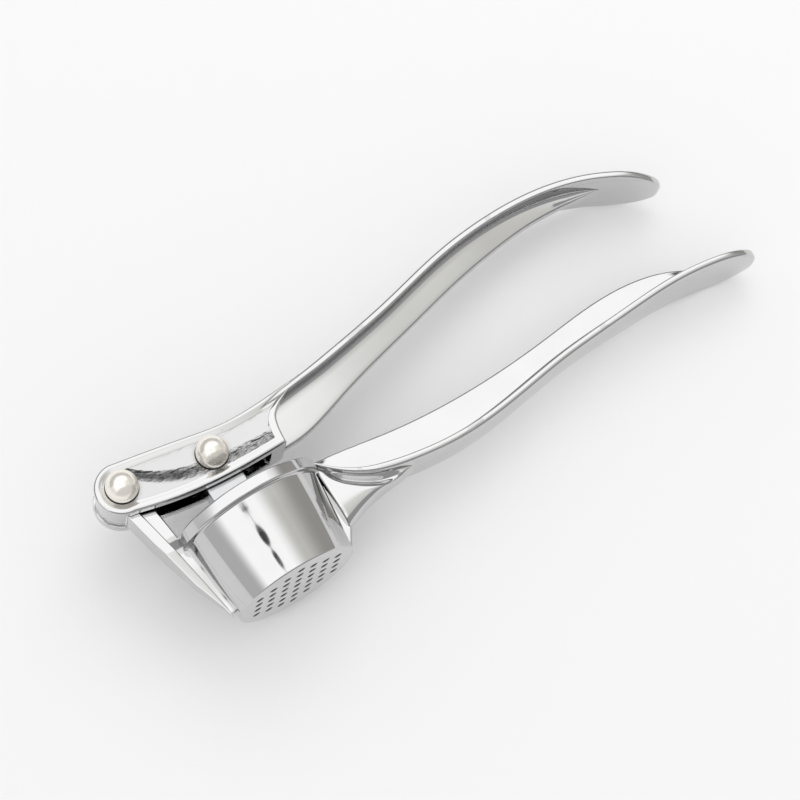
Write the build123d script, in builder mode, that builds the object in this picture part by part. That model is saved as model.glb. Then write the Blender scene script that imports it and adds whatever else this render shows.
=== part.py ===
from build123d import *
import math
import os

# A die-cast garlic press lying on its side. Millimetres, +Z up.
# The pivot axis and the plunger pin are along Z, the handles run towards +X, and the
# perforated face of the cup looks along -Y. The frame's origin is under the middle of the
# press's bounding box. Side profiles are drawn on its plane of symmetry, from the pivot centre.

# ---- the pivot centre, in the frame ----
PIVOT_X = -82.2
PIVOT_Y = 11.3
PIVOT_Z = 19.2

# ---- pins and rivets ----
PLUNGER_PIN_X = 22.9
PLUNGER_PIN_Y = -3.2
RIVET_SHANK_R = 2.0
RIVET_SEAT_R = 3.7
RIVET_HEAD_HEIGHT = 5.5
PIN_CLEARANCE = 0.06

# ---- fork of the upper handle ----
FORK_HALF_WIDTH = 6.3
FORK_END_R = 6.6
GAP_HALF_WIDTH = 3.7
GAP_FRONT_X = -10.0
GAP_END_X = 36.0
GAP_REACH = 14.0
ROOF_START_X = 9.5
ROOF_START_Y = 2.7
ROOF_END_Y = 0.2
PANEL_END_R = 4.6
PANEL_DEPTH = 0.5

# ---- handles: a palm flange with a rib along its inner side ----
FLANGE_THICKNESS = 2.2
RIB_HALF = 1.5
HALF_WIDTH_AT_HEAD = 6.3
HALF_WIDTH_AT_WAIST = 5.6
HALF_WIDTH_BEFORE_PADDLE = 6.1
HALF_WIDTH_AT_PADDLE = 8.5
STRAIGHT_LENGTH = 22.0
PADDLE_WIDEST = 11.0
PADDLE_START = 35.2
CUT_REACH = 60.0

# ---- cup, along -Y from its mouth to its perforated base ----
CUP_X = 24.6
MOUTH_Y = -16.4
LIP_HEIGHT = 3.0
LIP_SLOPE = 0.6
LIP_R = 19.2
BASE_Y = -40.1
BASE_THICKNESS = 2.2
WALL_TOP_R = 18.2
WALL_BASE_R = 15.7
BORE_MOUTH_R = 16.8
BORE_BASE_R = 13.7
BORE_REACH = 8.0

# ---- perforations: a hexagon of holes, most in the middle column ----
HOLE_R = 1.0
HOLE_COLUMN_PITCH = 3.6
HOLE_ROW_PITCH = 3.75
COLUMNS_EACH_SIDE = 3
HOLES_IN_MIDDLE_COLUMN = 7

# ---- hinge arm on the front of the cup ----
KNUCKLE_R = 6.0
KNUCKLE_HALF = 3.5
ARM_FLANGE_HALF = 3.5
ARM_TAPER_START = 19.0
ARM_POINT_HALF = 0.4
ARM_LENGTH = 39.0
ARM_REACH = 20.0
ARM_WEB_HALF = 2.5
ARM_SPINE = [
    (-3.4, 0), (-2.6, -3.5), (-0.1, -14.9), (3.5, -28.6), (7.3, -38.8),
    (7.7, -37), (3.8, -19.5), (1.2, -7.3), (1.2, 0), (-3.4, 0),
]
ARM_WEB = [
    (-1, 0), (7.4, -37.4), (10, -37.4), (9, -16.5), (5.8, -16.5), (5, -8), (5, 0), (-1, 0),
]

# ---- gusset between the cup and the lower handle ----
GUSSET_HALF = 4.8
GUSSET_WEB_HALF = 2.4
GUSSET_TOP = [(42.6, -17.5), (47, -22.6), (54, -27.3), (64, -29.8)]
GUSSET_FOOT = [(64, -29.8), (54, -30.9), (42.6, -34.8)]
GUSSET_FOOT_SLOPE = (-1, -0.35)
GUSSET_WEB = [(38, -17), (43.5, -17.5), (43.5, -34.5), (37, -39.3), (38, -17)]

# ---- plunger ----
EYE_R = 4.0
STEM_HALF_WIDTH = 5.2
STEM_HALF_DEPTH = 3.5
STEM_SHOULDER = 1.5
DISC_R = 12.4
DISC_THICKNESS = 4.0
DISC_OFFSET = 1.8
PIN_TO_FACE = 31.0

# ---- cheek of the fork and the panel in it: along the top, down the hollow rear, along the foot ----
CHEEK_TOP = [(0, FORK_END_R), (28, 2.3), (28.4, 1.2), (40, 1.6), (49, 2.9)]
CHEEK_REAR = [(49, 2.9), (43, -1), (40, -6)]
CHEEK_FOOT = [(40, -9.6), (28, -9.9), (16, -9.2), (0, -FORK_END_R)]
PANEL_TOP = [(0, PANEL_END_R), (28, 0.3), (39, 0.1), (44, 0.9)]
PANEL_REAR = [(44, 0.9), (40, -2.4), (38, -5.2)]
PANEL_FOOT = [(38, -7.6), (28, -7.9), (16, -7.2), (0, -PANEL_END_R)]
REAR_SLOPES = [(-1, -0.5), (-0.1, -1)]
LEVEL_SLOPES = [(-1, 0), (-1, 0)]

# ---- the palm line and the rib's free edge of each handle, from the pivot centre ----
UPPER_PALM = [
    (28, 2.3), (45, 3.2), (62, 6.2), (80, 10.2), (99, 15.2),
    (116, 17.5), (130, 17.0), (145, 13.2), (162, 4.4),
]
UPPER_RIB = [
    (39, -9.6), (47, -8.8), (60, -4.8), (86, 2.7), (100, 6.5),
    (114, 9.4), (128, 11.0), (138, 10.8), (149, 10.0),
]
LOWER_PALM = [
    (42, -17), (47, -21.9), (54, -26.6), (64, -29.2), (79, -30.2),
    (98, -27.9), (112, -25.5), (130, -23.8), (150, -23.1), (171, -26.2),
]
LOWER_RIB = [
    (43.6, -15.9), (52, -16.7), (64, -18.2), (82, -19.1), (97, -18.5),
    (112, -16.9), (128, -15.0), (140, -15.2), (150, -17.6), (158, -21.8),
]

side = Plane(origin=(PIVOT_X, PIVOT_Y, PIVOT_Z))
palm_view = Plane(origin=(PIVOT_X, PIVOT_Y, PIVOT_Z), x_dir=(1, 0, 0), z_dir=(0, -1, 0))
front_view = Plane(origin=(PIVOT_X, PIVOT_Y, PIVOT_Z), x_dir=(0, -1, 0), z_dir=(-1, 0, 0))
cup_axis = Axis((PIVOT_X + CUP_X, PIVOT_Y, PIVOT_Z), (0, 1, 0))
base_face = Plane(
    origin=(PIVOT_X + CUP_X, PIVOT_Y + BASE_Y, PIVOT_Z), x_dir=(1, 0, 0), z_dir=(0, -1, 0)
)


def offset_points(curve, depth, steps=16):
    """Points spaced along a curve, each moved to the curve's left by a depth."""
    points = []
    for step in range(steps + 1):
        place = curve @ (step / steps)
        along = curve % (step / steps)
        points.append((place.X - along.Y * depth, place.Y + along.X * depth))
    return points


def palm_flange(palm_points, depth):
    """A curved strip of one thickness, cut to the outline that the palm sees."""
    start = palm_points[0][0]
    end = palm_points[-1][0]
    outline = [
        (start + STRAIGHT_LENGTH, HALF_WIDTH_AT_HEAD),
        ((start + end) / 2, HALF_WIDTH_AT_WAIST),
        (end - PADDLE_START, HALF_WIDTH_BEFORE_PADDLE),
        (end - PADDLE_WIDEST, HALF_WIDTH_AT_PADDLE),
    ]
    with BuildPart() as strip:
        with BuildSketch(side):
            with BuildLine():
                palm = Spline(*palm_points)
                inner_points = offset_points(palm, depth)
                Spline(*inner_points)
                Line(palm_points[0], inner_points[0])
                Line(palm_points[-1], inner_points[-1])
            make_face()
        extrude(amount=HALF_WIDTH_AT_PADDLE + 1, both=True)
        with BuildSketch(palm_view):
            with BuildLine():
                top = Spline(*outline, tangents=[(1, 0), (1, 0)])
                bottom_points = [(x, -half) for x, half in outline]
                bottom = Spline(*bottom_points, tangents=[(1, 0), (1, 0)])
                ThreePointArc(top @ 1, (end, 0), bottom @ 1)
                Polyline(
                    top @ 0, (start - 1, HALF_WIDTH_AT_HEAD),
                    (start - 1, -HALF_WIDTH_AT_HEAD), bottom @ 0,
                )
            make_face()
        extrude(amount=CUT_REACH, both=True, mode=Mode.INTERSECT)
    return strip.part


def central_rib(palm_points, depth, free_edge):
    """A thin rib from the middle of a flange's thickness to its own free edge."""
    with BuildPart() as rib:
        with BuildSketch(side):
            with BuildLine():
                palm = Spline(*palm_points, mode=Mode.PRIVATE)
                root = offset_points(palm, depth / 2)[:-1]
                Spline(*root)
                Spline(*free_edge)
                Line(root[0], free_edge[0])
                Line(root[-1], free_edge[-1])
            make_face()
        extrude(amount=RIB_HALF, both=True)
    return rib.part


def cheek_outline(top, rear, foot, end_radius):
    """Round at the pivot, level along the top, hollow at the rear and bowed along the foot."""
    with BuildSketch() as outline:
        with BuildLine():
            Polyline(*top)
            Spline(*rear, tangents=REAR_SLOPES)
            Line(rear[-1], foot[0])
            Spline(*foot, tangents=LEVEL_SLOPES)
            RadiusArc((0, -end_radius), (0, end_radius), end_radius)
        make_face()
    return outline.sketch


# ---------------------------------------------------------------- upper handle
upper_flange = palm_flange(UPPER_PALM, -FLANGE_THICKNESS)
upper_rib = central_rib(UPPER_PALM, -FLANGE_THICKNESS, UPPER_RIB)

with BuildPart() as upper_handle:
    # head of the handle: rounded at the pivot, ending in a hollow curve above the rib
    with BuildSketch(side):
        add(cheek_outline(CHEEK_TOP, CHEEK_REAR, CHEEK_FOOT, FORK_END_R))
    extrude(amount=FORK_HALF_WIDTH, both=True)
    # raised rim round a recessed panel, on both cheeks
    for level in (FORK_HALF_WIDTH, -FORK_HALF_WIDTH):
        with BuildSketch(side.offset(level)):
            add(cheek_outline(PANEL_TOP, PANEL_REAR, PANEL_FOOT, PANEL_END_R))
        extrude(amount=math.copysign(PANEL_DEPTH, -level), mode=Mode.SUBTRACT)
    # gap between the cheeks, open below and in front, roofed behind the knuckle
    with BuildSketch(side):
        with BuildLine():
            Polyline(
                (GAP_FRONT_X, -GAP_REACH), (GAP_FRONT_X, GAP_REACH), (ROOF_START_X, GAP_REACH),
                (ROOF_START_X, ROOF_START_Y), (GAP_END_X, ROOF_END_Y), (GAP_END_X, -GAP_REACH),
                (GAP_FRONT_X, -GAP_REACH),
            )
        make_face()
    extrude(amount=GAP_HALF_WIDTH, both=True, mode=Mode.SUBTRACT)
    add(upper_flange)
    add(upper_rib)
    with Locations(side):
        with Locations((0, 0), (PLUNGER_PIN_X, PLUNGER_PIN_Y)):
            Hole(radius=RIVET_SHANK_R)
upper_handle.part.label = "upper_handle"

# ---------------------------------------------------------------- cup, handle and hinge arm
lower_flange = palm_flange(LOWER_PALM, FLANGE_THICKNESS)
lower_rib = central_rib(LOWER_PALM, FLANGE_THICKNESS, LOWER_RIB)
cup_side = Plane(origin=(PIVOT_X + CUP_X, PIVOT_Y, PIVOT_Z))

# front flange of the hinge arm: a straight spine that narrows to a point at the cup's foot
with BuildPart() as arm_spine:
    with BuildSketch(side):
        with BuildLine():
            Polyline(*ARM_SPINE)
        make_face()
    extrude(amount=ARM_FLANGE_HALF, both=True)
    with BuildSketch(front_view):
        with BuildLine():
            Polyline(
                (0, ARM_FLANGE_HALF), (ARM_TAPER_START, ARM_FLANGE_HALF),
                (ARM_LENGTH, ARM_POINT_HALF), (ARM_LENGTH, -ARM_POINT_HALF),
                (ARM_TAPER_START, -ARM_FLANGE_HALF), (0, -ARM_FLANGE_HALF), (0, ARM_FLANGE_HALF),
            )
        make_face()
    extrude(amount=ARM_REACH, both=True, mode=Mode.INTERSECT)
arm_flange = arm_spine.part

with BuildPart() as lower_handle:
    # handle
    add(lower_flange)
    add(lower_rib)
    # gusset from the handle to the foot of the cup, with a narrow web next to the cup
    with BuildSketch(side):
        with BuildLine():
            Polyline(*GUSSET_TOP)
            Spline(*GUSSET_FOOT, tangents=[(-1, 0), GUSSET_FOOT_SLOPE])
            Line(GUSSET_FOOT[-1], GUSSET_TOP[0])
        make_face()
    extrude(amount=GUSSET_HALF, both=True)
    with BuildSketch(side):
        with BuildLine():
            Polyline(*GUSSET_WEB)
        make_face()
    extrude(amount=GUSSET_WEB_HALF, both=True)
    # hinge arm: knuckle, front flange and the web behind it
    with BuildSketch(side):
        Circle(KNUCKLE_R)
    extrude(amount=KNUCKLE_HALF, both=True)
    add(arm_flange)
    with BuildSketch(side):
        with BuildLine():
            Polyline(*ARM_WEB)
        make_face()
    extrude(amount=ARM_WEB_HALF, both=True)
    # cup wall and lip ring
    with BuildSketch(cup_side):
        with BuildLine():
            Polyline(
                (0, MOUTH_Y), (LIP_R, MOUTH_Y), (LIP_R, MOUTH_Y - LIP_HEIGHT),
                (WALL_TOP_R, MOUTH_Y - LIP_HEIGHT - LIP_SLOPE), (WALL_BASE_R, BASE_Y),
                (0, BASE_Y), (0, MOUTH_Y),
            )
        make_face()
    revolve(axis=cup_axis)
    # bore
    with BuildSketch(cup_side):
        with BuildLine():
            Polyline(
                (0, MOUTH_Y + BORE_REACH), (BORE_MOUTH_R, MOUTH_Y + BORE_REACH),
                (BORE_MOUTH_R, MOUTH_Y), (BORE_BASE_R, BASE_Y + BASE_THICKNESS),
                (0, BASE_Y + BASE_THICKNESS), (0, MOUTH_Y + BORE_REACH),
            )
        make_face()
    revolve(axis=cup_axis, mode=Mode.SUBTRACT)
    # perforations
    for column in range(-COLUMNS_EACH_SIDE, COLUMNS_EACH_SIDE + 1):
        holes = HOLES_IN_MIDDLE_COLUMN - abs(column)
        with BuildSketch(base_face):
            with Locations((column * HOLE_COLUMN_PITCH, 0)):
                with GridLocations(1, HOLE_ROW_PITCH, 1, holes):
                    Circle(HOLE_R)
        extrude(amount=-BASE_THICKNESS - 1, mode=Mode.SUBTRACT)
    with Locations(side):
        Hole(radius=RIVET_SHANK_R + PIN_CLEARANCE)
lower_handle.part.label = "lower_handle"

# ---------------------------------------------------------------- plunger
face_y = PLUNGER_PIN_Y - PIN_TO_FACE
disc_x = PLUNGER_PIN_X + DISC_OFFSET
disc_axis = Axis((PIVOT_X + disc_x, PIVOT_Y, PIVOT_Z), (0, 1, 0))
disc_side = Plane(origin=(PIVOT_X + disc_x, PIVOT_Y, PIVOT_Z))

with BuildPart() as plunger:
    with BuildSketch(side):
        with Locations((PLUNGER_PIN_X, PLUNGER_PIN_Y)):
            Circle(EYE_R)
        with Locations((PLUNGER_PIN_X, PLUNGER_PIN_Y - STEM_SHOULDER)):
            Rectangle(
                2 * STEM_HALF_WIDTH, PIN_TO_FACE - 2 * STEM_SHOULDER,
                align=(Align.CENTER, Align.MAX),
            )
    extrude(amount=STEM_HALF_DEPTH, both=True)
    with BuildSketch(disc_side):
        with Locations((DISC_R / 2, face_y + DISC_THICKNESS / 2)):
            Rectangle(DISC_R, DISC_THICKNESS)
    revolve(axis=disc_axis)
    with Locations(side):
        with Locations((PLUNGER_PIN_X, PLUNGER_PIN_Y)):
            Hole(radius=RIVET_SHANK_R + PIN_CLEARANCE)
plunger.part.label = "plunger"

# ---------------------------------------------------------------- rivets
head_seat = FORK_HALF_WIDTH - PANEL_DEPTH
head_top = head_seat + RIVET_HEAD_HEIGHT


def domed_rivet(x, y):
    """A plain shank with the same ball-shaped dome on both ends, along the pivot axis."""
    section = Plane(origin=(PIVOT_X + x, PIVOT_Y + y, PIVOT_Z), x_dir=(1, 0, 0), z_dir=(0, -1, 0))
    dome_radius = (RIVET_SEAT_R**2 + RIVET_HEAD_HEIGHT**2) / (2 * RIVET_HEAD_HEIGHT)
    with BuildPart() as rivet:
        with BuildSketch(section):
            with BuildLine():
                RadiusArc((0, head_top), (RIVET_SEAT_R, head_seat), dome_radius)
                Polyline(
                    (RIVET_SEAT_R, head_seat), (RIVET_SHANK_R, head_seat),
                    (RIVET_SHANK_R, -head_seat), (RIVET_SEAT_R, -head_seat),
                )
                RadiusArc((RIVET_SEAT_R, -head_seat), (0, -head_top), dome_radius)
                Line((0, -head_top), (0, head_top))
            make_face()
        revolve(axis=Axis(section.origin, (0, 0, 1)))
    return rivet.part


pivot_rivet = domed_rivet(0, 0)
pivot_rivet.label = "pivot_rivet"
plunger_rivet = domed_rivet(PLUNGER_PIN_X, PLUNGER_PIN_Y)
plunger_rivet.label = "plunger_rivet"

os.makedirs("parts", exist_ok=True)
export_step(upper_handle.part, "parts/upper_handle.step")
export_step(lower_handle.part, "parts/lower_handle.step")
export_step(plunger.part, "parts/plunger.step")
export_step(pivot_rivet, "parts/pivot_rivet.step")
export_step(plunger_rivet, "parts/plunger_rivet.step")
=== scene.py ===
# %% [markdown]
# # A die-cast garlic press
# The press lies on its side: two handles with a thin rib inside a wider palm flange, a tapered
# cup with a perforated base, a plunger that swings on a pin, and two domed rivets. The fixed
# frame brings the measured solids and their hinges. Every shape below is a surface worked out
# on a grid, in millimetres from the pivot's centre, so it drops onto its solid without fitting.

# %% The frame
import math
import bpy
import numpy as np
from mathutils import Matrix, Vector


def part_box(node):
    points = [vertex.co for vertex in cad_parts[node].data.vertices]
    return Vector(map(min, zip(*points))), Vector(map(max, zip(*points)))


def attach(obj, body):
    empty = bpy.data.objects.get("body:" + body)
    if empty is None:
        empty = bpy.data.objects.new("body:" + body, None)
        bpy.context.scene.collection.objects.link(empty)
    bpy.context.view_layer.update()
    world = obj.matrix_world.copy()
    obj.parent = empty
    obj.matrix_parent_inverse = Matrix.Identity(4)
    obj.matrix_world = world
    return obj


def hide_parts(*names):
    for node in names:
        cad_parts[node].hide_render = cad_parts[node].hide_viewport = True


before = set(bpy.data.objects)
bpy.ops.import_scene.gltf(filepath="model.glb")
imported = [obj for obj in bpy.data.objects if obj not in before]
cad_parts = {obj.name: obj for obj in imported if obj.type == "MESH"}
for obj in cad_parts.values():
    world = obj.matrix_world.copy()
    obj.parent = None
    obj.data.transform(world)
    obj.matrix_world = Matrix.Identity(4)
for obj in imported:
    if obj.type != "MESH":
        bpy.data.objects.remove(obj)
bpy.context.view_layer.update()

MM = 0.001
low, high = (np.array(corner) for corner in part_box("pivot_rivet"))
pivot = (low + high) / 2
print("pivot centre", pivot.round(4), "solids", sorted(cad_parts))

# %% [markdown]
# ## Grids into meshes
# A surface is an array of points with rows and columns. Its faces are the quads between
# neighbours. Rows that run together at a pole leave quads with a doubled corner, and those
# become triangles, so no seam or pole stays open. Each closed shell is turned so that its volume
# is positive, which points every face outwards. Normals are averaged by face area, so a wide
# flat keeps one even reflection right up to its small rounded edge, as on a polished casting.

# %% Grids, shells and pieces
WELD = 0.0004
WELD_OFFSET = 0.21


def grid(points, wrap_columns=False, wrap_rows=False):
    """Quads between the neighbours of points[row, column], joined end to end where wrapped."""
    rows, columns = points.shape[:2]
    index = np.arange(rows * columns).reshape(rows, columns)
    if wrap_columns:
        index = np.hstack([index, index[:, :1]])
    if wrap_rows:
        index = np.vstack([index, index[:1]])
    corners = [index[:-1, :-1], index[1:, :-1], index[1:, 1:], index[:-1, 1:]]
    return points.reshape(-1, 3), np.stack(corners, -1).reshape(-1, 4)


def area_vectors(points, faces):
    """Half the cross product of each quad's diagonals: its area times its direction."""
    a, b, c, d = (points[faces[:, k]] for k in range(4))
    return np.cross(c - a, d - b) / 2


def shell(*grids):
    """Grids joined where their points meet within a weld distance, faces turned outwards."""
    starts = np.cumsum([0] + [len(points) for points, quads in grids])
    points = np.concatenate([points for points, quads in grids])
    quads = np.concatenate([quads + start for (p, quads), start in zip(grids, starts)])
    keys = np.round(points / WELD + WELD_OFFSET).astype(np.int64)
    first, inverse = np.unique(keys, axis=0, return_index=True, return_inverse=True)[1:]
    points, quads = points[first], inverse.reshape(-1)[quads]
    doubled = quads == np.roll(quads, -1, axis=1)
    whole = quads[doubled.sum(1) == 0]
    pinched = quads[doubled.sum(1) == 1]
    corner = doubled[doubled.sum(1) == 1].argmax(1)
    three = np.take_along_axis(pinched, (corner[:, None] + 1 + np.arange(3)) % 4, 1)
    faces = np.concatenate([whole, np.hstack([three, three[:, 2:]])])
    volume = (points[faces].mean(1) * area_vectors(points, faces)).sum() / 3
    return points, faces if volume > 0 else faces[:, ::-1]


def mirrored(part):
    """The same shell on the other side of the plane of symmetry, turned outwards again."""
    points, faces = part
    return points * (1, 1, -1), faces[:, ::-1]


def piece(name, shells, finish, body, *nodes):
    """One object from closed shells: it takes a finish, rides a body and stands for nodes."""
    starts = np.cumsum([0] + [len(points) for points, faces in shells])
    points = np.concatenate([points for points, faces in shells])
    faces = np.concatenate([faces + start for (p, faces), start in zip(shells, starts)])
    areas = area_vectors(points, faces)
    normals = np.zeros_like(points)
    for k in range(4):
        np.add.at(normals, faces[:, k], areas)
    normals /= np.maximum(np.linalg.norm(normals, axis=1, keepdims=True), 1e-12)
    polygons = [list(dict.fromkeys(face)) for face in faces.tolist()]
    mesh = bpy.data.meshes.new(name)
    mesh.from_pydata((points * MM + pivot).tolist(), [], polygons)
    mesh.shade_smooth()
    mesh.normals_split_custom_set_from_vertices(normals.tolist())
    mesh.materials.append(finish)
    made = bpy.data.objects.new(name, mesh)
    bpy.context.scene.collection.objects.link(made)
    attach(made, body)
    if nodes:
        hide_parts(*nodes)
    print(name, len(points), "points", len(faces), "faces")
    return made


# %% [markdown]
# ## Curves
# A handle's palm line is a handful of points with a smooth line through them. A natural cubic
# spline gives that line: each span is a cubic, and the slope and the bend carry over at every
# point, so a long chrome reflection slides along the handle without a kink.

# %% Smooth curves and steps
def spline(points, fractions):
    """Natural cubic spline through points, at fractions of its chord length from 0 to 1."""
    knots = np.asarray(points, float)
    gaps = np.linalg.norm(np.diff(knots, axis=0), axis=1)
    chord = np.concatenate([[0], np.cumsum(gaps)])
    count = len(knots)
    inner = np.arange(1, count - 1)
    matrix = np.eye(count)
    matrix[inner, inner - 1] = gaps[:-1]
    matrix[inner, inner] = 2 * (gaps[:-1] + gaps[1:])
    matrix[inner, inner + 1] = gaps[1:]
    slopes = np.diff(knots, axis=0) / gaps[:, None]
    right = np.zeros_like(knots)
    right[1:-1] = 6 * np.diff(slopes, axis=0)
    bend = np.linalg.solve(matrix, right)
    place = np.asarray(fractions) * chord[-1]
    k = np.clip(np.searchsorted(chord, place, side="right") - 1, 0, count - 2)
    span = gaps[k][:, None]
    b = (place - chord[k])[:, None] / span
    a = 1 - b
    cubic = ((a**3 - a) * bend[k] + (b**3 - b) * bend[k + 1]) * span**2 / 6
    return a * knots[k] + b * knots[k + 1] + cubic


def height_on(points, x):
    """The spline's y at each x, for a line that never turns back."""
    dense = spline(points, np.linspace(0, 1, 1200))
    return np.interp(x, dense[:, 0], dense[:, 1])


def step(x, start, end):
    """0 before start, 1 after end, and a smooth rise between them."""
    t = np.clip((np.asarray(x, float) - start) / (end - start), 0, 1)
    return t * t * (3 - 2 * t)


def quarter(count):
    """Angles from 0 to a right angle, for the quarter circles of rounded edges."""
    return np.linspace(0, math.pi / 2, count)


# %% [markdown]
# ## Handles
# Each handle is one casting with a T-shaped section: a palm flange about 2 mm thick with soft
# edges, and a rib down its middle that stiffens it. The section could be extruded and
# bevelled, but the flange widens into a paddle, the rib fades out and all corners are
# rounded, so the section itself is carried along the palm line, with every size a function of
# the distance along it.

# %% Handle sizes
FLANGE = 2.2
RIB_HALF, RIB_DRAFT = 1.5, 0.42
PALM_EDGE_R, RIM_R, ROOT_R, RIB_EDGE_R = 0.9, 0.45, 1.4, 0.7
PALM_CROWN = 0.35
LEAST_HALF = 4.0
HEAD_HALF, WAIST_HALF, PADDLE_HALF = 6.3, 5.6, 8.5
STRAIGHT, PADDLE_LENGTH, TIP_LENGTH = 14, 56, 12
UPPER_PALM = [
    (28, 2.3), (45, 3.2), (62, 6.2), (80, 10.2), (99, 15.2),
    (116, 17.5), (130, 17.0), (145, 13.2), (162, 4.4),
]
UPPER_EDGE = [
    (38, -9.4), (42, -9.35), (47, -8.8), (60, -4.8), (86, 2.7), (100, 6.5),
    (114, 9.4), (128, 11.0), (138, 10.8), (149, 10.0),
]
LOWER_PALM = [
    (42, -17), (47, -21.9), (54, -26.6), (64, -29.2), (79, -30.2),
    (98, -27.9), (112, -25.5), (130, -23.8), (150, -23.1), (171, -26.2),
]
LOWER_EDGE = [
    (43.6, -15.9), (52, -16.7), (64, -18.2), (82, -19.1), (97, -18.5),
    (112, -16.9), (128, -15.0), (140, -15.2), (150, -17.6), (158, -21.8),
]


def tee_section(width, thickness, depth):
    """Half widths, thicknesses and rib depths give closed sections of (depth, across).

    From the palm's middle: a crowned palm, a quarter circle, a flat rim, a smaller quarter
    circle, the flange's inner face, a hollow quarter circle into the rib, the rib's side and a
    quarter circle to its free edge; then the mirror image back.
    """
    full = np.maximum(width, LEAST_HALF)[:, None]
    t = thickness[:, None]
    h = np.maximum(depth, thickness)[:, None]
    rib = np.clip((h - t) / (ROOT_R + RIB_EDGE_R + 0.4), 0, 1)
    root, edge, draft = ROOT_R * rib, RIB_EDGE_R * rib, RIB_DRAFT * rib
    b = RIB_HALF + RIB_DRAFT / 2
    lift = PALM_CROWN * ((full - PALM_EDGE_R) / full) ** 2
    palm_r, rim_r = PALM_EDGE_R * t / FLANGE, RIM_R * t / FLANGE
    flat = full - palm_r
    a = np.linspace(0, 1, 8)[None, :-1]
    turn, small = quarter(8)[None], quarter(6)[None]
    ahead, inward, down = (np.linspace(0, 1, n)[None, 1:-1] for n in (4, 8, 7))
    parts = [
        (PALM_CROWN * (a * flat / full) ** 2, a * flat),
        (lift + palm_r * (1 - np.cos(turn)), flat + palm_r * np.sin(turn)),
        (lift + palm_r + (t - rim_r - lift - palm_r) * ahead, full + 0 * ahead),
        (t - rim_r + rim_r * np.sin(small), full - rim_r + rim_r * np.cos(small)),
        (t + 0 * inward, full - rim_r + (b + root - full + rim_r) * inward),
        (t + root * (1 - np.cos(small)), b + root * (1 - np.sin(small))),
        (t + root + (h - edge - t - root) * down, b - draft * down),
        (h - edge + edge * np.sin(small), b - draft - edge + edge * np.cos(small)),
        (h, 0 * h),
    ]
    depths = np.concatenate([p for p, q in parts], 1)
    across = np.concatenate([q for p, q in parts], 1) * (width[:, None] / full)
    back = slice(-2, 0, -1)
    return (
        np.concatenate([depths, depths[:, back]], 1),
        np.concatenate([across, -across[:, back]], 1),
    )


def rib_depth(palm, inward, free_edge, thickness):
    """From each palm point, how far along its inward direction the rib's free edge lies."""
    edge = spline(free_edge, np.linspace(0, 1, 900))
    away = edge[None] - palm[:, None]
    aside = np.abs(away[..., 0] * inward[:, None, 1] - away[..., 1] * inward[:, None, 0])
    nearest = aside.argmin(1)
    reach = (away * inward[:, None]).sum(-1)[np.arange(len(palm)), nearest]
    met = aside.min(1) < 0.4
    return np.where(met, np.maximum(reach, thickness), thickness)


def capped(sections):
    """Closed sections in a row, with a first and a last row drawn in to their middles."""
    first, last = (sections[k].mean(0) + 0 * sections[k] for k in (0, -1))
    return grid(np.concatenate([first[None], sections, last[None]]), wrap_columns=True)


def handle(palm_points, free_edge, turn, width_of, sink_of, thick_of):
    """A T-section along a palm line; turn is +1 or -1 for the side its rib is on."""
    tip = 16 / np.ptp(np.array(palm_points)[:, 0])
    place = np.concatenate([
        np.linspace(0, 1 - tip, 150), 1 - tip + tip * np.sin(quarter(44))[1:],
    ])
    palm = spline(palm_points, place)
    along = np.gradient(palm, place, axis=0)
    along /= np.linalg.norm(along, axis=1, keepdims=True)
    inward = turn * np.stack([-along[:, 1], along[:, 0]], 1)
    x = palm[:, 0]
    thickness = thick_of(x)
    depth = rib_depth(palm, inward, free_edge, thickness)
    depths, across = tee_section(width_of(x), thickness, depth)
    thin = np.sqrt(1 - 0.93 * step(x, x[-1] - 1.3, x[-1] + 0.05) ** 2)[:, None]
    core = thickness[:, None] / 2
    depths = core + (depths - core) * thin + sink_of(x)[:, None]
    flat = palm[:, None] + inward[:, None] * depths[..., None]
    flat[..., 0] = np.minimum(flat[..., 0], x[-1])
    return shell(capped(np.concatenate([flat, across[..., None]], 2)))


def paddle_width(x, start, end):
    """Half width: level at the head, a slim waist, a wider paddle and an elliptical tip."""
    slim = step(x, start + STRAIGHT, (start + end) / 2)
    wide = step(x, end - PADDLE_LENGTH, end - TIP_LENGTH)
    width = HEAD_HALF + (WAIST_HALF - HEAD_HALF) * slim + (PADDLE_HALF - WAIST_HALF) * wide
    past = np.clip((x - (end - TIP_LENGTH)) / TIP_LENGTH, 0, 1)
    return width * np.sqrt(np.maximum(1 - past**2, 0)) + 0.02


upper_grip = handle(
    UPPER_PALM, UPPER_EDGE, -1,
    lambda x: paddle_width(x, 28, 162) - 0.2 * (1 - step(x, 44, 54)),
    lambda x: 0.15 * (1 - step(x, 43, 52)),
    lambda x: FLANGE - 0.5 * (1 - step(x, 46, 60)),
)
lower_grip = handle(
    LOWER_PALM, LOWER_EDGE, 1,
    lambda x: paddle_width(x, 42, 171) - 1.1 * (1 - step(x, 43, 56)),
    lambda x: 0 * x,
    lambda x: FLANGE - 1.5 * (1 - step(x, 42, 60)),
)
print("upper handle points", len(upper_grip[0]), "lower handle points", len(lower_grip[0]))

# %% [markdown]
# ## The fork's cheeks
# The head of the upper handle is a fork: two flat cheeks, each with a raised rim round a
# sunk panel. A plate cut and inset by hand would do, but rings that run parallel to the
# outline give an even rim and a clean step everywhere. Each ring is the outline moved part of
# the way towards the panel's edge, and the inner rings close onto a line down the middle. The
# halves meet at the plane of symmetry behind the gap, where the head is solid.

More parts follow.
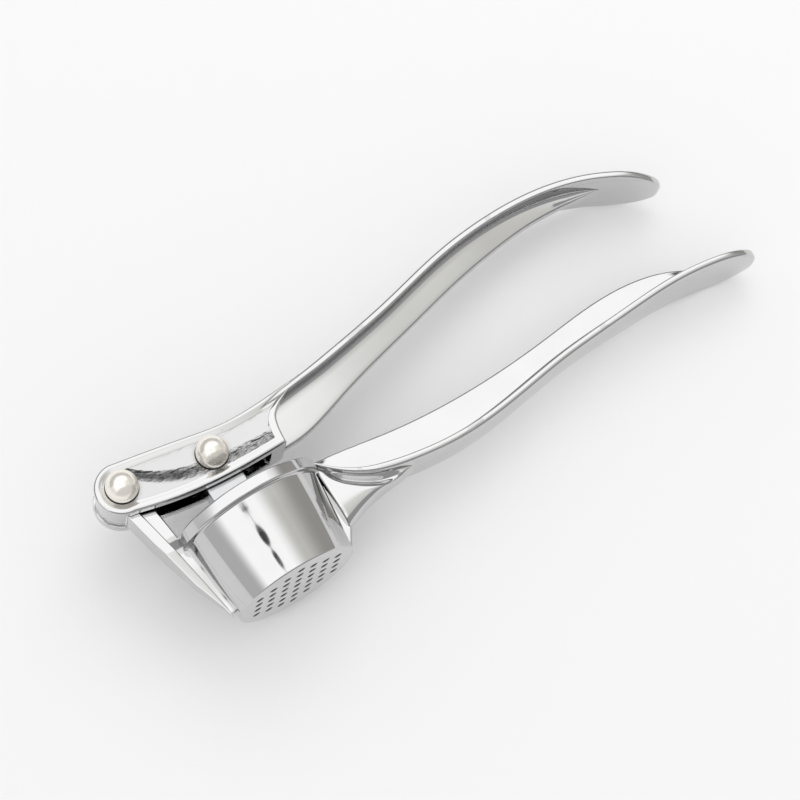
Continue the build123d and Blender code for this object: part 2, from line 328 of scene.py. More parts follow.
# %% Cheeks
CHEEK_Z, PANEL_Z, GAP_Z = 6.3, 5.95, 3.7
GAP_END = 36.0
PIVOT_R, PANEL_R = 6.6, 4.6
PANEL_REACH = 38.1
HEAD_TOP = [(0, 6.6), (11, 5.0), (21, 3.4), (30, 2.25), (38, 2.5), (45, 3.2), (52, 4.25)]
HEAD_REAR = [(40, -9.5), (40.5, -5), (41.8, -1.9), (43.5, -0.4), (46.9, 1.5), (52, 3.55)]
HEAD_FOOT = [(0, -6.6), (8, -8.3), (17, -9.45), (28, -9.85), (40, -9.5)]
PANEL_TOP = [(0, 4.6), (11, 3.1), (21, 1.55), (30, 0.4), (37, 0.5), (43.6, 1.15)]
PANEL_REAR = [(38.1, -7.6), (38.6, -4.2), (39.8, -1.6), (41.4, -0.1), (43.6, 1.15)]
PANEL_FOOT = [(0, -4.6), (8, -6.3), (17, -7.45), (28, -7.85), (38.1, -7.6)]


def outline(top, rear, foot, radius, x_top, x_foot, rear_places):
    """Once round: back along the top, half round the pivot, along the foot, up the rear."""
    angle = np.linspace(math.pi / 2, 3 * math.pi / 2, 40)[1:-1]
    x_top, x_foot = x_top * top[-1][0], x_foot * foot[-1][0]
    return np.concatenate([
        np.stack([x_top, height_on(top, x_top)], 1)[::-1],
        radius * np.stack([np.cos(angle), np.sin(angle)], 1),
        np.stack([x_foot, height_on(foot, x_foot)], 1),
        spline(rear, rear_places)[1:-1],
    ])


def cheek():
    """Rings from the panel's middle out over the rim, round the edge and in along the back."""
    back_step = np.array([GAP_END - 0.02, GAP_END + 0.02])
    along_top = np.sort(np.concatenate([np.linspace(0, 1, 60), back_step / HEAD_TOP[-1][0]]))
    along_foot = np.sort(np.concatenate([np.linspace(0, 1, 60), back_step / HEAD_FOOT[-1][0]]))
    up_rear = np.linspace(0, 1, 40)
    curves = (along_top, along_foot, up_rear)
    outer = outline(HEAD_TOP, HEAD_REAR, HEAD_FOOT, PIVOT_R, *curves)
    inner = outline(PANEL_TOP, PANEL_REAR, PANEL_FOOT, PANEL_R, *curves)
    reach = PANEL_REACH * (along_top + along_foot) / 2
    reach = np.concatenate([reach[::-1], np.zeros(38), reach, np.full(38, PANEL_REACH)])
    middle = np.stack([reach, -4.2 * step(reach, -4, 36)], 1)
    horn = 0.3 * step(outer[:, 0], 45, 52)
    sink = np.stack([0 * horn, 0.15 * step(outer[:, 0], 43, 52)], 1)
    outer = outer - sink * (np.arange(len(outer)) < len(along_top))[:, None]

    def ring(share, level):
        """share 0 is the outline, 1 the panel's edge and 2 the line down the middle."""
        place = outer + (inner - outer) * min(share, 1) + (middle - inner) * max(share - 1, 0)
        return np.concatenate([place, (level - horn * (share < 1.01))[:, None]], 1)

    def back_ring(share, level):
        """A ring on the gap's side, which drops to the plane of symmetry behind the gap."""
        place = ring(share, 0)
        place[:, 2] = np.where(place[:, 0] < GAP_END, GAP_Z + level, 0)
        return place

    rise = CHEEK_Z - PANEL_Z
    rows = [ring(2 - k, PANEL_Z) for k in (0, 0.2, 0.4, 0.6, 0.7)]
    rows += [
        ring(1.3 - 0.85 * k, PANEL_Z + rise * float(step(k, 0, 1)))
        for k in np.linspace(0.1, 1, 10)
    ]
    rows += [ring(share, CHEEK_Z) for share in (0.45, 0.36)]
    rows += [
        ring(0.3 * (1 - math.sin(a)), CHEEK_Z - 0.6 * (1 - math.cos(a))) for a in quarter(8)[1:]
    ]
    rows += [ring(0, level) for level in (5.2, 4.7, 4.3)]
    rows += [back_ring(0.1 * (1 - math.cos(a)), 0.2 * (1 - math.sin(a))) for a in quarter(4)]
    rows += [back_ring(share, 0) for share in (0.5, 1.0, 1.5, 2.0)]
    return shell(grid(np.stack(rows), wrap_columns=True))


near_cheek = cheek()
print("cheek points", len(near_cheek[0]))

# %% [markdown]
# The roof joins the cheeks behind the hinge's knuckle. It is a plain bar whose top follows
# the head's top line, so its section is only a rectangle with a height that changes.

# %% Roof of the fork
def bar(centres, half_x, half_y, radius, count=5):
    """Rounded rectangles at the centres, one per row; the caller lays them in space."""
    turn = np.concatenate([q * math.pi / 2 + quarter(count) for q in range(4)])
    corner_x = np.repeat([1, -1, -1, 1], count)
    corner_y = np.repeat([1, 1, -1, -1], count)
    r = np.minimum(radius, np.minimum(half_x, half_y) * 0.98)[:, None]
    x = centres[:, :1] + corner_x * (half_x[:, None] - r) + r * np.cos(turn)
    y = centres[:, 1:] + corner_y * (half_y[:, None] - r) + r * np.sin(turn)
    return x, y


def upright(y_row, left, right, half_z, radius, count=6):
    """A shell of rounded rectangles between two sides in X, one for each y."""
    centres = np.stack([(left + right) / 2, 0 * y_row], 1)
    x, z = bar(centres, (right - left) / 2, half_z, radius, count)
    return shell(capped(np.stack([x, y_row[:, None] + 0 * x, z], -1)))


x_roof = np.linspace(9.5, GAP_END + 0.5, 30)
roof_top = height_on(HEAD_TOP, x_roof) - 0.01
roof_low = np.interp(x_roof, [9.5, GAP_END], [2.7, 0.2])
z, y = bar(
    np.stack([0 * x_roof, (roof_top + roof_low) / 2], 1), np.full(30, GAP_Z + 0.01),
    (roof_top - roof_low) / 2, np.full(30, 0.02),
)
roof = shell(capped(np.stack([x_roof[:, None] + 0 * y, y, z], -1)))

# %% [markdown]
# ## Round parts
# The cup, the lip ring, the plunger's disc, the hinge's knuckle and the rivets are turned
# shapes: a profile of radius and height carried round an axis. Blender's Spin does the same,
# but a grid closes exactly at its poles and seam.

# %% Turned shapes
def rounded(corners, radii, count=6):
    """A polyline of (radius, height) with every inner corner turned into a small arc."""
    corners = np.asarray(corners, float)
    path = [corners[:1]]
    for before, at, after, r in zip(corners[:-2], corners[1:-1], corners[2:], radii):
        inward, outward = before - at, after - at
        inward, outward = inward / np.linalg.norm(inward), outward / np.linalg.norm(outward)
        half = math.acos(float(np.clip(inward @ outward, -1, 1))) / 2
        reach = r / math.tan(half)
        t = np.linspace(0, 1, count)[:, None]
        start, end = at + inward * reach, at + outward * reach
        centre = at + (inward + outward) / np.linalg.norm(inward + outward) * r / math.sin(half)
        spread = (start - centre) * (1 - t) + (end - centre) * t
        path.append(centre + spread / np.linalg.norm(spread, axis=1, keepdims=True) * r)
    path.append(corners[-1:])
    return np.concatenate(path)


def turned_y(profile, centre_x, angles):
    """A profile of (radius, y) carried round a line parallel to Y."""
    r, y = profile[:, 0][:, None], profile[:, 1][:, None]
    x = centre_x + r * np.cos(angles)
    return np.stack([x, y + 0 * angles, r * np.sin(angles)], -1)


def turned_z(profile, x, y, angles):
    """A profile of (radius, z) carried round a line parallel to Z."""
    r, z = profile[:, 0][:, None], profile[:, 1][:, None]
    return np.stack([x + r * np.cos(angles), y + r * np.sin(angles), z + 0 * angles], -1)


CUP_X = 24.6
MOUTH_Y, BASE_Y, FLOOR_Y = -16.4, -40.1, -37.9
LIP_Y = -19.9
COLUMN_PITCH, ROW_PITCH, HOLE_R = 3.6, 3.75, 1.0
HOLE_EDGE = 0.22
FLOOR_R = 13.5
BELLY = 0.22

# %% [markdown]
# The cup's base is a sieve: 37 holes in seven columns of 4, 5, 6, 7, 6, 5 and 4. Cutting
# them with a Boolean leaves long thin faces. Instead, each hole sits in the middle of its own
# six-sided cell, and a ring of quads joins the hole's rounded edge to the cell. Neighbouring cells
# share their sides, like a honeycomb, and one ring of quads joins the outside of the honeycomb
# to the cup's wall. That ring's angles are then used for the wall too, so the cup is one closed
# skin.

# %% Cup
def honeycomb():
    """Centres of the holes and the loop of one cell's border, four steps to a side."""
    columns = np.concatenate([np.full(7 - abs(c), c) for c in range(-3, 4)])
    rows = np.concatenate([np.arange(7 - abs(c)) - (6 - abs(c)) / 2 for c in range(-3, 4)])
    centres = np.stack([columns * COLUMN_PITCH, rows * ROW_PITCH], 1)
    skew = ROW_PITCH**2 / (8 * COLUMN_PITCH)
    wide, narrow, half = COLUMN_PITCH / 2 + skew, COLUMN_PITCH / 2 - skew, ROW_PITCH / 2
    corners = np.array([
        (wide, 0), (narrow, half), (-narrow, half), (-wide, 0), (-narrow, -half), (narrow, -half),
    ])
    t = np.arange(4)[None, :, None] / 4
    loop = corners[:, None] * (1 - t) + np.roll(corners, -1, 0)[:, None] * t
    return centres, loop.reshape(-1, 2)


def sieve(border, centres, limit):
    """Each hole from its cell's border outside, round its two edges, to the border inside."""
    direction = border / np.linalg.norm(border, axis=1, keepdims=True)
    turn = quarter(4)
    radii = [HOLE_R + HOLE_EDGE * 1.6, *(HOLE_R + HOLE_EDGE * (1 - np.sin(turn)))]
    levels = [BASE_Y, BASE_Y, *(BASE_Y + HOLE_EDGE * (1 - np.cos(turn)))]
    radii += [*(HOLE_R + HOLE_EDGE * (1 - np.cos(turn)))]
    levels += [*(FLOOR_Y - HOLE_EDGE * (1 - np.sin(turn))), FLOOR_Y]
    rings = np.stack([border] + [direction * r for r in radii] + [border])
    flat = rings[None] + centres[:, None, None]
    size = np.linalg.norm(flat[:, -1:], axis=-1, keepdims=True)
    flat[:, -1:] *= np.minimum(1, limit / np.maximum(size, 0.001))
    level = np.array(levels)[None, :, None] + 0 * flat[..., 0]
    return np.stack([CUP_X + flat[..., 0], level, flat[..., 1]], -1)


centres, border = honeycomb()
cup_grids = [grid(hole[::-1], wrap_columns=True) for hole in sieve(border, centres, FLOOR_R)]

is_corner = np.tile(np.arange(len(border)) % 4 == 0, len(centres))
meets = (centres[:, None] + border[None]).reshape(-1, 2)
first, counts = np.unique(np.round(meets, 4), axis=0, return_index=True, return_counts=True)[1:]
rim_points = meets[first][counts < np.where(is_corner[first], 3, 2)]
order = np.argsort(np.arctan2(rim_points[:, 1], rim_points[:, 0]))
rim_points = rim_points[order]
rim_angle = np.arctan2(rim_points[:, 1], rim_points[:, 0])
size = np.linalg.norm(rim_points, axis=1)
print("honeycomb rim points", len(size), "radii", size.min().round(2), size.max().round(2))

cup_profile = rounded(
    [(15.0, BASE_Y), (15.7, BASE_Y), (18.1, LIP_Y), (19.2, -19.5), (19.2, MOUTH_Y),
     (16.9, MOUTH_Y), (13.8, FLOOR_Y), (13.5, FLOOR_Y)],
    [0.5, 0.7, 0.5, 0.45, 0.4, 0.2], 6,
)
dense = np.concatenate([cup_profile[:1], *[
    a + (b - a) * np.linspace(0, 1, max(2, int(np.linalg.norm(b - a) / 1.6)))[1:, None]
    for a, b in zip(cup_profile[:-1], cup_profile[1:])
]])
up_wall = np.clip((dense[:, 1] - BASE_Y) / (LIP_Y - BASE_Y), 0, 1)
on_wall = (dense[:, 0] > 15.2) * (dense[:, 1] < LIP_Y)
dense[:, 0] += BELLY * np.sin(math.pi * up_wall) * on_wall
wall = turned_y(dense, CUP_X, rim_angle)


def rim_row(limit, y):
    """The honeycomb's outside at one height, drawn in to a limit."""
    drawn = rim_points * np.minimum(1, limit / size)[:, None]
    return np.stack([CUP_X + drawn[:, 0], y + 0 * size, drawn[:, 1]], 1)


cup_grids.append(grid(
    np.concatenate([rim_row(99, BASE_Y)[None], wall, rim_row(FLOOR_R, FLOOR_Y)[None]]),
    wrap_columns=True,
))
cup = shell(*cup_grids)
print("cup points", len(cup[0]))

# %% [markdown]
# ## Gusset and hinge arm
# A rounded gusset carries the handle's palm line down to the cup's foot, with a hollow pocket
# under the flange on each side and a narrow web beside the cup. On the front, a blade-like
# arm rises from the cup's foot to the hinge's knuckle, with a thinner web behind it.

# %% Gusset
GUSSET_FOOT = [(42.4, -34.9), (48, -32.6), (54, -31.0), (60, -30.3), (68, -29.9)]
x_row = np.concatenate([[42.4, 42.46, 42.6, 42.8, 43.1], np.linspace(43.6, 68, 60)])
draw_in = np.array([0.6, 0.36, 0.17, 0.06, 0] + [0] * 60)
palm_here = height_on(LOWER_PALM, np.maximum(x_row, 42.6))
foot_here = height_on(GUSSET_FOOT, x_row)
foot_here = foot_here + (palm_here + 0.5 - foot_here) * step(x_row, 60, 68)
upper_here = palm_here + 1.2
half_z = 4.8 - 1.9 * step(x_row, 52, 68)
down = np.sin(np.linspace(-math.pi / 2, math.pi / 2, 72))
span_y = (upper_here - foot_here) / 2
mid_y = (upper_here + foot_here) / 2
y = mid_y[:, None] - (span_y - draw_in)[:, None] * down
z = (half_z - draw_in)[:, None] * (1 - np.abs(down) ** 4) ** 0.25
below = palm_here[:, None] - y
hollow = np.exp(-(((below - 1.3) / 1.3) ** 2))
hollow = hollow * (step(x_row, 43.6, 47.5) * (1 - step(x_row, 54, 64)))[:, None]
z = z * (1 - 0.45 * hollow)
half_loop = np.stack([x_row[:, None] + 0 * y, y, z], -1)
loop = np.concatenate([half_loop, (half_loop * (1, 1, -1))[:, -2:0:-1]], 1)
gusset = shell(capped(loop))

y_row = np.linspace(-18, -39.2, 30)
left = CUP_X + np.interp(y_row, [-40.1, -19.4], [15.7, 18.2]) - 1.5
right = np.interp(y_row, [-39.2, -34.4, -18], [left[-1] + 1.6, 43.4, 43.4])
cup_web = upright(y_row, left, right, np.full(30, 2.4), np.full(30, 0.7), 5)

# %% [markdown]
# The hinge arm is seen as one white blade that narrows to a point at the cup's foot. It could
# be a tapered box, but its front and rear edges bend at different heights, so each edge is a
# line of its own and a rounded bar fills the width between them. The web behind it is thinner,
# so that the blade keeps its own outline.

# %% Hinge arm
y_row = np.concatenate([np.linspace(-0.5, -36, 70), np.linspace(-36, -38.9, 16)[1:]])
front = np.interp(y_row, [-38.9, -28.6, -14.9, -3.5, -0.5], [7.45, 3.5, -0.1, -2.6, -3.2])
rear = np.interp(
    y_row, [-38.9, -36.4, -28.6, -19.5, -7.3, -0.5], [7.6, 7.4, 5.75, 3.8, 1.2, -0.2])
half_z = np.interp(y_row, [-38.9, -19, -0.5], [0.35, 3.5, 3.5])
blade = upright(y_row, front, rear, half_z, np.full(len(y_row), 0.4))

y_row = np.concatenate([np.linspace(-2, -16.2, 24), np.linspace(-16.6, -38.3, 30)])
left = np.interp(y_row, [-38.3, -28.6, -19.5, -7.3, -2], [7.2, 5.0, 3.0, 0.5, -0.6])
wall_x = CUP_X - np.interp(y_row, [-40.1, -19.4], [15.7, 18.2]) + 0.8
right = np.where(y_row > -16.4, np.interp(y_row, [-16.2, -9.1, -2], [5.9, 5.1, 4.6]), wall_x)
half_z = 2.5 - 1.4 * step(-y_row, 15.5, 19.5) - 0.6 * step(-y_row, 22, 36)
arm_web = upright(y_row, left, right, half_z, np.full(len(y_row), 0.5))

around = np.linspace(0, 2 * math.pi, 97)[:-1]
knuckle = shell(grid(turned_z(rounded(
    [(0, -3.5), (6, -3.5), (6, 3.5), (0, 3.5)], [0.6, 0.6], 8), 0, 0, around), wrap_columns=True))

# %% [markdown]
# ## Plunger
# The plunger is a flat eye on a flat stem with a round disc at its foot, cast in one. The
# stem is a little thinner here than its solid, so the dark gap above it stays open to the eye.

# %% Plunger
PIN = (22.9, -3.2)
STEM_HALF, STEM_DEPTH = 5.2, 2.9
eye = shell(grid(turned_z(rounded(
    [(0, -3.5), (4, -3.5), (4, 3.5), (0, 3.5)], [0.5, 0.5], 6), *PIN, around), wrap_columns=True))
y_row = np.concatenate([-4.7 - 0.7 * (1 - np.cos(quarter(6))), np.linspace(-6, -31, 30)])
narrow = np.concatenate([0.7 * (1 - np.sin(quarter(6))), np.zeros(30)])
stem = upright(
    y_row, PIN[0] - STEM_HALF + narrow, PIN[0] + STEM_HALF - narrow, STEM_DEPTH - narrow,
    np.full(36, 0.8),
)
disc = shell(grid(turned_y(rounded(
    [(0, -34.2), (12.4, -34.2), (12.4, -30.2), (0, -30.2)], [0.6, 0.9], 6), 24.7, around),
    wrap_columns=True))

# %% [markdown]
# The rivets are plain pins with a ball-shaped head on each side. A whole ball sunk into the
# panel would do, but turning the pin and both heads in one profile keeps the skin closed.

# %% Rivets
BALL_R, BALL_Z, SEAT_RISE = 4.0, 7.3, 1.5
SHANK = [(2.0, 0.0), (2.0, 5.6), (2.0, 5.8), (3.5, 5.8)]


def rivet(x, y):
    """A pin with a ball on both ends: radius BALL_R cos a, height BALL_Z + BALL_R sin a."""
    a = np.linspace(-math.asin(SEAT_RISE / BALL_R), math.pi / 2, 40)
    ball = np.stack([BALL_R * np.cos(a), BALL_Z + BALL_R * np.sin(a)], 1)
    half = np.concatenate([SHANK, ball])
    whole = np.concatenate([(half * (1, -1))[::-1], half[1:]])
    whole[[0, -1], 0] = 0
    return shell(grid(turned_z(whole, x, y, around), wrap_columns=True))


# %% [markdown]
# ## Finishes
# The castings are zinc with bright chrome over polish that is never quite flat: long soft
# waves bend the reflections, and the panels, which no wheel can reach, stay crinkled along a
# streak near their foot. The crinkles are a bump in the finish; the sunk panels are also painted
# a little darker, and darker again along the streak, as painted shade. Round each rivet head a
# thin dark ring is painted on the panel as painted shade, and the polish there is hazier. The
# rivets are nickel, warmer and softer, with a milky lustre.

# %% Finishes
# Radii of the thin ring of painted shade round each rivet head, and of the hazier polish there
SEAT_SHADE_RING, SEAT_HAZE = (4.05, 4.3), (4.2, 5.8)
STREAK_START, STREAK_LENGTH, STREAK_DROP, STREAK_LEVEL = 5.8, 9.0, 7.0, -6.8
STREAK_HALF = (0.3, 2.1)
PANEL_TOLERANCE = 0.05


def node_maker(tree):
    """A cleared node tree's two tools: one adds a node with its settings, one joins sockets."""
    tree.nodes.clear()

    def add(kind, **settings):
        """A node of one kind; each setting goes to the input or property of that name."""
        made = tree.nodes.new(kind)
        for name, value in settings.items():
            if name in made.inputs:
                made.inputs[name].default_value = value
            elif hasattr(made, name):
                setattr(made, name, value)
        return made

    def link(source, target):
        """Joins an output to an input."""
        tree.links.new(source, target)

    return add, link


def plated(name, colour, rough, wave, crinkle, metallic=1.0):
    """Bright metal: noise-varied roughness, soft waves and, on the panels, fine crinkles.

    The wave and the crinkle are bump heights in metres; a crinkle of 0 leaves the panels'
    crinkles and painted shade, and the painted shade rings round the rivets, out of the finish.
    """
    material = bpy.data.materials.new(name)
    material.use_nodes = True
    add, link = node_maker(material.node_tree)
    out = add("ShaderNodeOutputMaterial")
    metal = add("ShaderNodeBsdfPrincipled", Metallic=metallic)
    link(metal.outputs[0], out.inputs[0])
    place = add("ShaderNodeTexCoord").outputs["Object"]

    def noise(scale, detail, stretch=(1, 1, 1)):
        """A cloudy value from 0 to 1, stretched along the axes."""
        mapped = add("ShaderNodeMapping")
        mapped.inputs["Scale"].default_value = stretch
        link(place, mapped.inputs[0])
        made = add("ShaderNodeTexNoise", Scale=scale, Detail=detail)
        link(mapped.outputs[0], made.inputs["Vector"])
        return made.outputs[0]

    def ramp(value, start, end, low, high):
        """From low to high, smoothly, as the value goes from start to end."""
        made = add("ShaderNodeMapRange", interpolation_type="SMOOTHSTEP")
        link(value, made.inputs[0])
        for k, number in enumerate((start, end, low, high)):
            made.inputs[k + 1].default_value = number
        return made.outputs[0]

    def combine(operation, *values):
        """A maths node on sockets and plain numbers."""
        made = add("ShaderNodeMath", operation=operation)
        for k, value in enumerate(values):
            if isinstance(value, (int, float)):
                made.inputs[k].default_value = value
            else:
                link(value, made.inputs[k])
        return made.outputs[0]

    tone = ramp(noise(90, 3), 0, 1, 0.94, 1.0)
    haze = ramp(noise(260, 4), 0, 1, rough * 0.7, rough * 1.4)
    bump = add("ShaderNodeBump", Strength=1.0, Distance=wave)
    link(noise(70, 0), bump.inputs["Height"])
    if crinkle:
        apart = add("ShaderNodeSeparateXYZ")
        link(place, apart.inputs[0])
        x, y, z = (
            combine("MULTIPLY_ADD", apart.outputs[k], 1 / MM, float(-pivot[k] / MM))
            for k in range(3)
        )
        on_panel = combine("COMPARE", combine("ABSOLUTE", z), PANEL_Z, PANEL_TOLERANCE)
        from_head = [
            combine("SQRT", combine("ADD", *(
                combine("POWER", combine("SUBTRACT", value, float(centre)), 2)
                for value, centre in zip((x, y), pin)
            )))
            for pin in ((0, 0), PIN)
        ]
        nearest = combine("MINIMUM", *from_head)
        # Painted shade: a thin dark ring on the panel just round each rivet head, where head and
        # panel meet
        seat_painted_shade = combine("MULTIPLY", on_panel, ramp(nearest, *SEAT_SHADE_RING, 1, 0))
        haze = combine(
            "ADD", haze, combine("MULTIPLY", on_panel, ramp(nearest, *SEAT_HAZE, 0.3, 0)))
        fall = combine("EXPONENT", combine(
            "MULTIPLY_ADD", x, -1 / STREAK_LENGTH, STREAK_START / STREAK_LENGTH))
        streak = combine("MULTIPLY_ADD", fall, STREAK_DROP, STREAK_LEVEL)
        beside = combine("ABSOLUTE", combine("SUBTRACT", y, streak))
        within = combine("MULTIPLY", ramp(beside, *STREAK_HALF, 1.0, 0.05), on_panel)
        # Painted shade: the sunk panel is a tenth darker, and darker still along the streak, most
        # of all nearer the pivot
        streak_painted_shade = combine("MULTIPLY", within, ramp(x, 13, 22, -0.68, -0.3))
        panel_painted_shade = combine("ADD", streak_painted_shade, combine("MULTIPLY_ADD", on_panel, -0.1, 1))
        # The ring's painted shade takes the colour down to a tenth
        tone = combine("MULTIPLY", tone, ramp(seat_painted_shade, 0, 1, 1, 0.1))
        tone = combine("MULTIPLY", tone, panel_painted_shade)
        fine = add("ShaderNodeBump", Strength=1.0, Distance=crinkle)
        height = combine("MULTIPLY", noise(1000, 3, (0.45, 1.3, 1)), within)
        link(height, fine.inputs["Height"])
        link(bump.outputs[0], fine.inputs["Normal"])
        bump = fine
    shade = add("ShaderNodeMix", data_type="RGBA", blend_type="MULTIPLY")
    shade.inputs[0].default_value = 1
    shade.inputs[6].default_value = (*colour, 1)
    link(tone, shade.inputs[7])
    link(shade.outputs[2], metal.inputs["Base Color"])
    link(haze, metal.inputs["Roughness"])
    link(bump.outputs[0], metal.inputs["Normal"])
    return material


chrome = plated("bright_chrome", (0.64, 0.64, 0.64), 0.06, 0.00003, 0.0009)
# The plunger's chrome is a darker copy of the bright chrome: painted shade for the plunger, which
# sits deep in the fork's gap and the cup
chrome_in_painted_shade = plated("plunger_painted_shade_chrome", (0.55, 0.56, 0.57), 0.14, 0.00003, 0)
nickel = plated("warm_nickel", (0.95, 0.91, 0.83), 0.2, 0.00001, 0, 0.52)
print("finishes", [finish.name for finish in (chrome, chrome_in_painted_shade, nickel)])

# %% [markdown]
# ## Pieces
# Each casting is one object made of closed shells that run into each other, as the metal does.
# It rides the body of its solid and takes that solid's place. Joining the shells with a Boolean
# would break their even grids, and nothing of the joints inside can be seen.

# %% Pieces
upper = piece(
    "upper_casting", [upper_grip, near_cheek, mirrored(near_cheek), roof], chrome, "upper",
    "upper_handle",
)
lower = piece(
    "lower_casting", [lower_grip, cup, gusset, cup_web, blade, arm_web, knuckle], chrome,
    "lower", "lower_handle",
)
plunger = piece("plunger_casting", [eye, stem, disc], chrome_in_painted_shade, "plunger", "plunger")
for name, place in (("pivot_rivet", (0, 0)), ("plunger_rivet", PIN)):
    made = piece(name + "_domed", [rivet(*place)], nickel, "upper", name)

# %% [markdown]
# ## Table
# The press rests on the cup's lip and on the edge of the lower paddle, so its own level is
# tipped by a few degrees. The solids stay where they are, so the table is tipped instead.

# %% Table
TIP = 0.0793
LIP_Z = -19.27
half = 3.0
corners_x = np.array([-half, half, half, -half])
corners_y = np.array([-half, -half, half, half])
at = pivot[0] + CUP_X * MM
table_z = pivot[2] + LIP_Z * MM + TIP * (corners_x - at)
table_mesh = bpy.data.meshes.new("table")
table_mesh.from_pydata(np.stack([corners_x, corners_y, table_z], 1).tolist(), [], [(0, 1, 2, 3)])
table = bpy.data.objects.new("table", table_mesh)
bpy.context.scene.collection.objects.link(table)
paper = bpy.data.materials.new("pale_table")
paper.use_nodes = True
paper_shader = paper.node_tree.nodes["Principled BSDF"]
paper_shader.inputs["Base Color"].default_value = (0.90, 0.895, 0.90, 1)
paper_shader.inputs["Roughness"].default_value = 0.6
table_mesh.materials.append(paper)
print("table tipped by", round(math.degrees(math.atan(TIP)), 2), "degrees")

# %% [markdown]
# ## Light
# Chrome shows nothing but its surroundings, so the light is a room of soft cards. Most of the
# sky is white, a darker card stands low in front and gives the rounded edges their thin dark
# outlines, and greyer cards at the sides shade the round cup. A narrow grey card with three
# dark ones over it draws the broken dark line down the cup. Lamps could do the same, but a card
# is simply a range of directions. Only reflections see the cards: the table is lit by plain
# pale light, and what reaches it by way of the chrome is made stronger.

# %% Light
AMBIENT, BOUNCED, STUDIO = 0.955, 0.7, 1.55
world = bpy.data.worlds.new("studio")
bpy.context.scene.world = world
world.use_nodes = True
add, link = node_maker(world.node_tree)
out = add("ShaderNodeOutputWorld")
sky = add("ShaderNodeBackground", Strength=STUDIO)
apart = add("ShaderNodeSeparateXYZ")
link(add("ShaderNodeTexCoord").outputs["Generated"], apart.inputs[0])
toward_x, toward_y, toward_z = apart.outputs


def rise(value, start, end):
    """0 to 1 as a direction's part goes from start to end, smoothly."""
    made = add("ShaderNodeMapRange", interpolation_type="SMOOTHSTEP")
    link(value, made.inputs[0])
    made.inputs[1].default_value, made.inputs[2].default_value = start, end
    return made.outputs[0]


def both(first, second):
    """The product of two masks."""
    made = add("ShaderNodeMath", operation="MULTIPLY")
    link(first, made.inputs[0])
    link(second, made.inputs[1])
    return made.outputs[0]


def card(under, mask, colour):
    """Hangs a card of one colour over what is there, where the mask is 1."""
    made = add("ShaderNodeMix", data_type="RGBA")
    link(mask, made.inputs[0])
    if isinstance(under, tuple):
        made.inputs[6].default_value = (*under, 1)
    else:
        link(under, made.inputs[6])
    made.inputs[7].default_value = (*colour, 1)
    return made.outputs[2]


def within(*limits):
    """The product of several rises, each a direction's part with its start and end."""
    mask = None
    for value, start, end in limits:
        made = rise(value, start, end)
        mask = made if mask is None else both(mask, made)
    return mask


def spot(centre_x, centre_y, half_x, half_y):
    """1 inside an ellipse of directions overhead, 0 outside it."""
    total = None
    for value, centre, reach in ((toward_x, centre_x, half_x), (toward_y, centre_y, half_y)):
        away = add("ShaderNodeMath", operation="MULTIPLY_ADD")
        link(value, away.inputs[0])
        away.inputs[1].default_value, away.inputs[2].default_value = 1 / reach, -centre / reach
        square = both(away.outputs[0], away.outputs[0])
        if total is None:
            total = square
        else:
            joined = add("ShaderNodeMath", operation="ADD")
            link(total, joined.inputs[0])
            link(square, joined.inputs[1])
            total = joined.outputs[0]
    return both(rise(total, 1.15, 0.85), rise(toward_z, 0.5, 0.7))


SIDE_LIMITS = ((toward_y, 0.4, 0.2), (toward_y, -0.5, -0.3))
cards = [
    (within((toward_z, 0.42, 0.66)), (0.955, 0.955, 0.955)),
    (within((toward_x, 0.0, 0.45), (toward_y, 0.2275, 0.07), (toward_y, -0.5, -0.3)),
     (0.50, 0.495, 0.47)),
    (within((toward_x, 0.5, 0.95), (toward_y, 0.4, 0.25), (toward_y, -0.4, -0.2)),
     (0.27, 0.265, 0.25)),
    (within((toward_x, -0.35, -0.6), *SIDE_LIMITS), (0.95, 0.95, 0.95)),
    (within((toward_x, -0.8, -0.97), *SIDE_LIMITS), (0.40, 0.40, 0.40)),
    (within((toward_y, -0.30, -0.45), (toward_z, 0.95, 0.85)), (0.26, 0.26, 0.265)),
    (within((toward_x, -0.302, -0.297), (toward_x, -0.284, -0.289), (toward_y, 0.12, 0.08),
            (toward_y, -0.2, -0.1), (toward_z, 0.5, 0.7)), (0.35, 0.35, 0.35)),
]
cards += [
    (spot(*place), (0.015, 0.015, 0.015))
    for place in (
        (-0.29, 0.01, 0.085, 0.032), (-0.31, 0.095, 0.11, 0.018), (-0.30, -0.055, 0.06, 0.02),
    )
]
room = (0.10, 0.10, 0.105)
for mask, colour in cards:
    room = card(room, mask, colour)
print("cards", len(cards))
path = add("ShaderNodeLightPath")
first_look = add("ShaderNodeMath", operation="LESS_THAN")
link(path.outputs["Diffuse Depth"], first_look.inputs[0])
first_look.inputs[1].default_value = 0.5
seen_by = both(path.outputs["Is Glossy Ray"], first_look.outputs[0])
plain = add("ShaderNodeBackground")
brightness = add("ShaderNodeMath", operation="MULTIPLY_ADD")
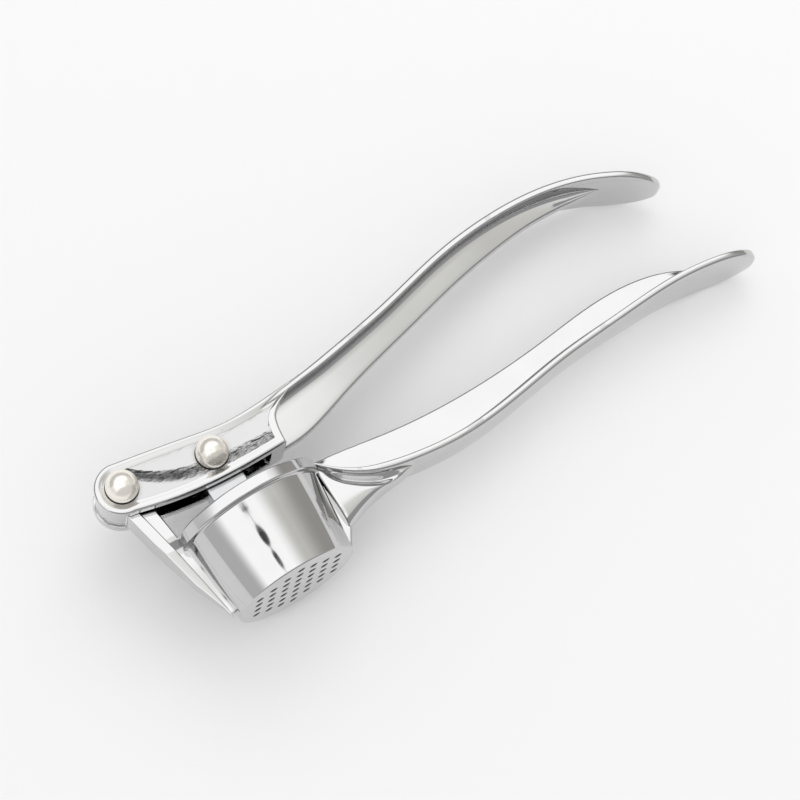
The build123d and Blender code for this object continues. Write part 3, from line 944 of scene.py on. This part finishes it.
link(path.outputs["Is Glossy Ray"], brightness.inputs[0])
brightness.inputs[1].default_value, brightness.inputs[2].default_value = BOUNCED, AMBIENT
link(brightness.outputs[0], plain.inputs["Strength"])
plain.inputs[0].default_value = (1, 0.997, 1, 1)
pick = add("ShaderNodeMixShader")
link(seen_by, pick.inputs[0])
link(plain.outputs[0], pick.inputs[1])
link(sky.outputs[0], pick.inputs[2])
link(pick.outputs[0], out.inputs[0])
link(room, sky.inputs[0])

lamp = bpy.data.lights.new("softbox", "AREA")
lamp.size, lamp.energy = 0.7, 1.6
softbox = bpy.data.objects.new("softbox", lamp)
softbox.visible_glossy = False
bpy.context.scene.collection.objects.link(softbox)
softbox.matrix_world = Matrix.Translation((0.35, 0.45, 0.9)) @ (
    Matrix.Rotation(math.radians(-40), 4, "Z") @ Matrix.Rotation(math.radians(-32), 4, "X"))

# %% [markdown]
# ## Camera
# A long lens looks down from in front of the hinge, turned a little about its own axis, so the
# handles run up to the right. Depth of field stays off: the whole press is sharp.

# %% Camera
AZIMUTH, ELEVATION, ROLL = (math.radians(a) for a in (-139.902, 66.837, 18.506))
TARGET = np.array([-8.36, 0.80, 12.0]) * MM
DISTANCE = 0.668
away = np.array([
    math.cos(ELEVATION) * math.cos(AZIMUTH), math.cos(ELEVATION) * math.sin(AZIMUTH),
    math.sin(ELEVATION),
])
level_right = np.cross((0, 0, 1), away)
level_right /= np.linalg.norm(level_right)
level_up = np.cross(away, level_right)
right = math.cos(ROLL) * level_right + math.sin(ROLL) * level_up
up = np.cross(away, right)
lens = bpy.data.cameras.new("camera")
lens.lens = 121.5
lens.sensor_width = 36
lens.clip_end = 20
camera = bpy.data.objects.new("camera", lens)
bpy.context.scene.collection.objects.link(camera)
turned = Matrix(np.stack([right, up, away], 1).tolist()).to_4x4()
camera.matrix_world = Matrix.Translation((TARGET + DISTANCE * away).tolist()) @ turned
bpy.context.scene.camera = camera
bpy.context.scene.view_settings.view_transform = "Standard"
print("camera", DISTANCE, "m away, lens", lens.lens, "mm")
